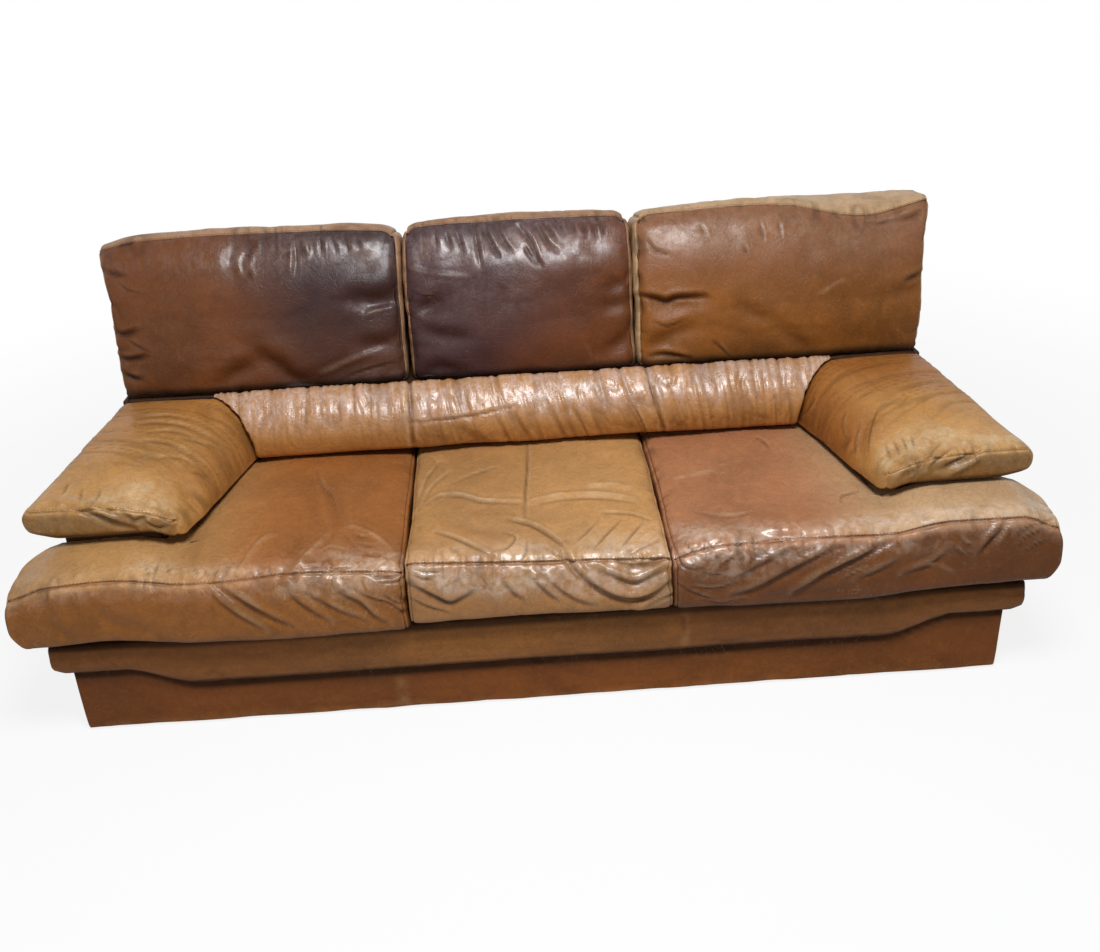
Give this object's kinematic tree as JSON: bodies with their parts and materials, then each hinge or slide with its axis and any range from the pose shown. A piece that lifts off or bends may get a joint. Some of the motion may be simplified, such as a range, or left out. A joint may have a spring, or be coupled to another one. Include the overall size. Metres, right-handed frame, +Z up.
{
  "type": "three-seat leather sofa",
  "caption": "Worn leather sofa with loose seat and back cushions, splayed pad arms, a gathered lumbar bolster and a plinth base.",
  "frame": {"origin": "middle of the footprint on the floor: the bottom centre of the sofa's box", "axes": "+X runs to the viewer's right along the sofa's length, the sofa faces -Y, +Z is up"},
  "size_m": [2.15, 0.9132, 0.8867],
  "materials": {
    "seat_leather_left": "worn glossy tan leather with scratches",
    "seat_leather_centre": "worn glossy golden tan leather with creases",
    "seat_leather_right": "worn grainy reddish tan leather",
    "arm_leather": "worn tan leather with fine wrinkles",
    "bolster_leather": "gathered glossy golden tan leather",
    "back_leather_left": "creased dark brown leather with tan patches",
    "back_leather_centre": "creased dark brown leather",
    "back_leather_right": "creased mid brown leather",
    "roll_leather": "worn padded leather roll",
    "plinth_leather": "scuffed mottled brown leather",
    "panel_leather": "smooth brown leather over board",
    "timber": "plain unfinished softwood",
    "webbing": "woven elastic webbing",
    "lining_cloth": "thin black lining cloth",
    "glide_plastic": "matte moulded plastic"
  },
  "bodies": {
    "root": {"seat_cushion_left": "seat_leather_left", "seat_cushion_centre": "seat_leather_centre", "seat_cushion_right": "seat_leather_right", "arm_cushion_left": "arm_leather", "arm_cushion_right": "arm_leather", "lumbar_bolster": "bolster_leather", "back_cushion_left": "back_leather_left", "back_cushion_centre": "back_leather_centre", "back_cushion_right": "back_leather_right", "front_roll": "roll_leather", "side_roll_left": "roll_leather", "side_roll_right": "roll_leather", "plinth_front": "plinth_leather", "plinth_back": "plinth_leather", "plinth_side_left": "plinth_leather", "plinth_side_right": "plinth_leather", "arm_front_panel_left": "panel_leather", "arm_front_panel_right": "panel_leather", "arm_inner_panel_left": "panel_leather", "arm_inner_panel_right": "panel_leather", "arm_side_panel_left": "panel_leather", "arm_side_panel_right": "panel_leather", "arm_top_board_left": "timber", "arm_top_board_right": "timber", "arm_post_left": "timber", "arm_post_right": "timber", "lumbar_board": "panel_leather", "back_ledge": "panel_leather", "back_side_panel_left": "panel_leather", "back_side_panel_right": "panel_leather", "rear_panel_lower": "panel_leather", "rear_panel_upper": "panel_leather", "back_rest_panel": "panel_leather", "back_cap": "panel_leather", "back_end_panel_left": "panel_leather", "back_end_panel_right": "panel_leather", "back_post_left": "timber", "back_post_centre": "timber", "back_post_right": "timber", "front_rail": "timber", "rear_rail": "timber", "middle_rail": "timber", "side_rail_left": "timber", "side_rail_right": "timber", "cross_rail_left": "timber", "cross_rail_right": "timber", "front_leg_left": "timber", "front_leg_right": "timber", "rear_leg_left": "timber", "rear_leg_right": "timber", "front_glide_left": "glide_plastic", "front_glide_right": "glide_plastic", "rear_glide_left": "glide_plastic", "rear_glide_right": "glide_plastic", "seat_strap_1": "webbing", "seat_strap_2": "webbing", "seat_strap_3": "webbing", "seat_strap_4": "webbing", "seat_deck": "lining_cloth", "dust_cover": "lining_cloth"}
  },
  "joints": []
}
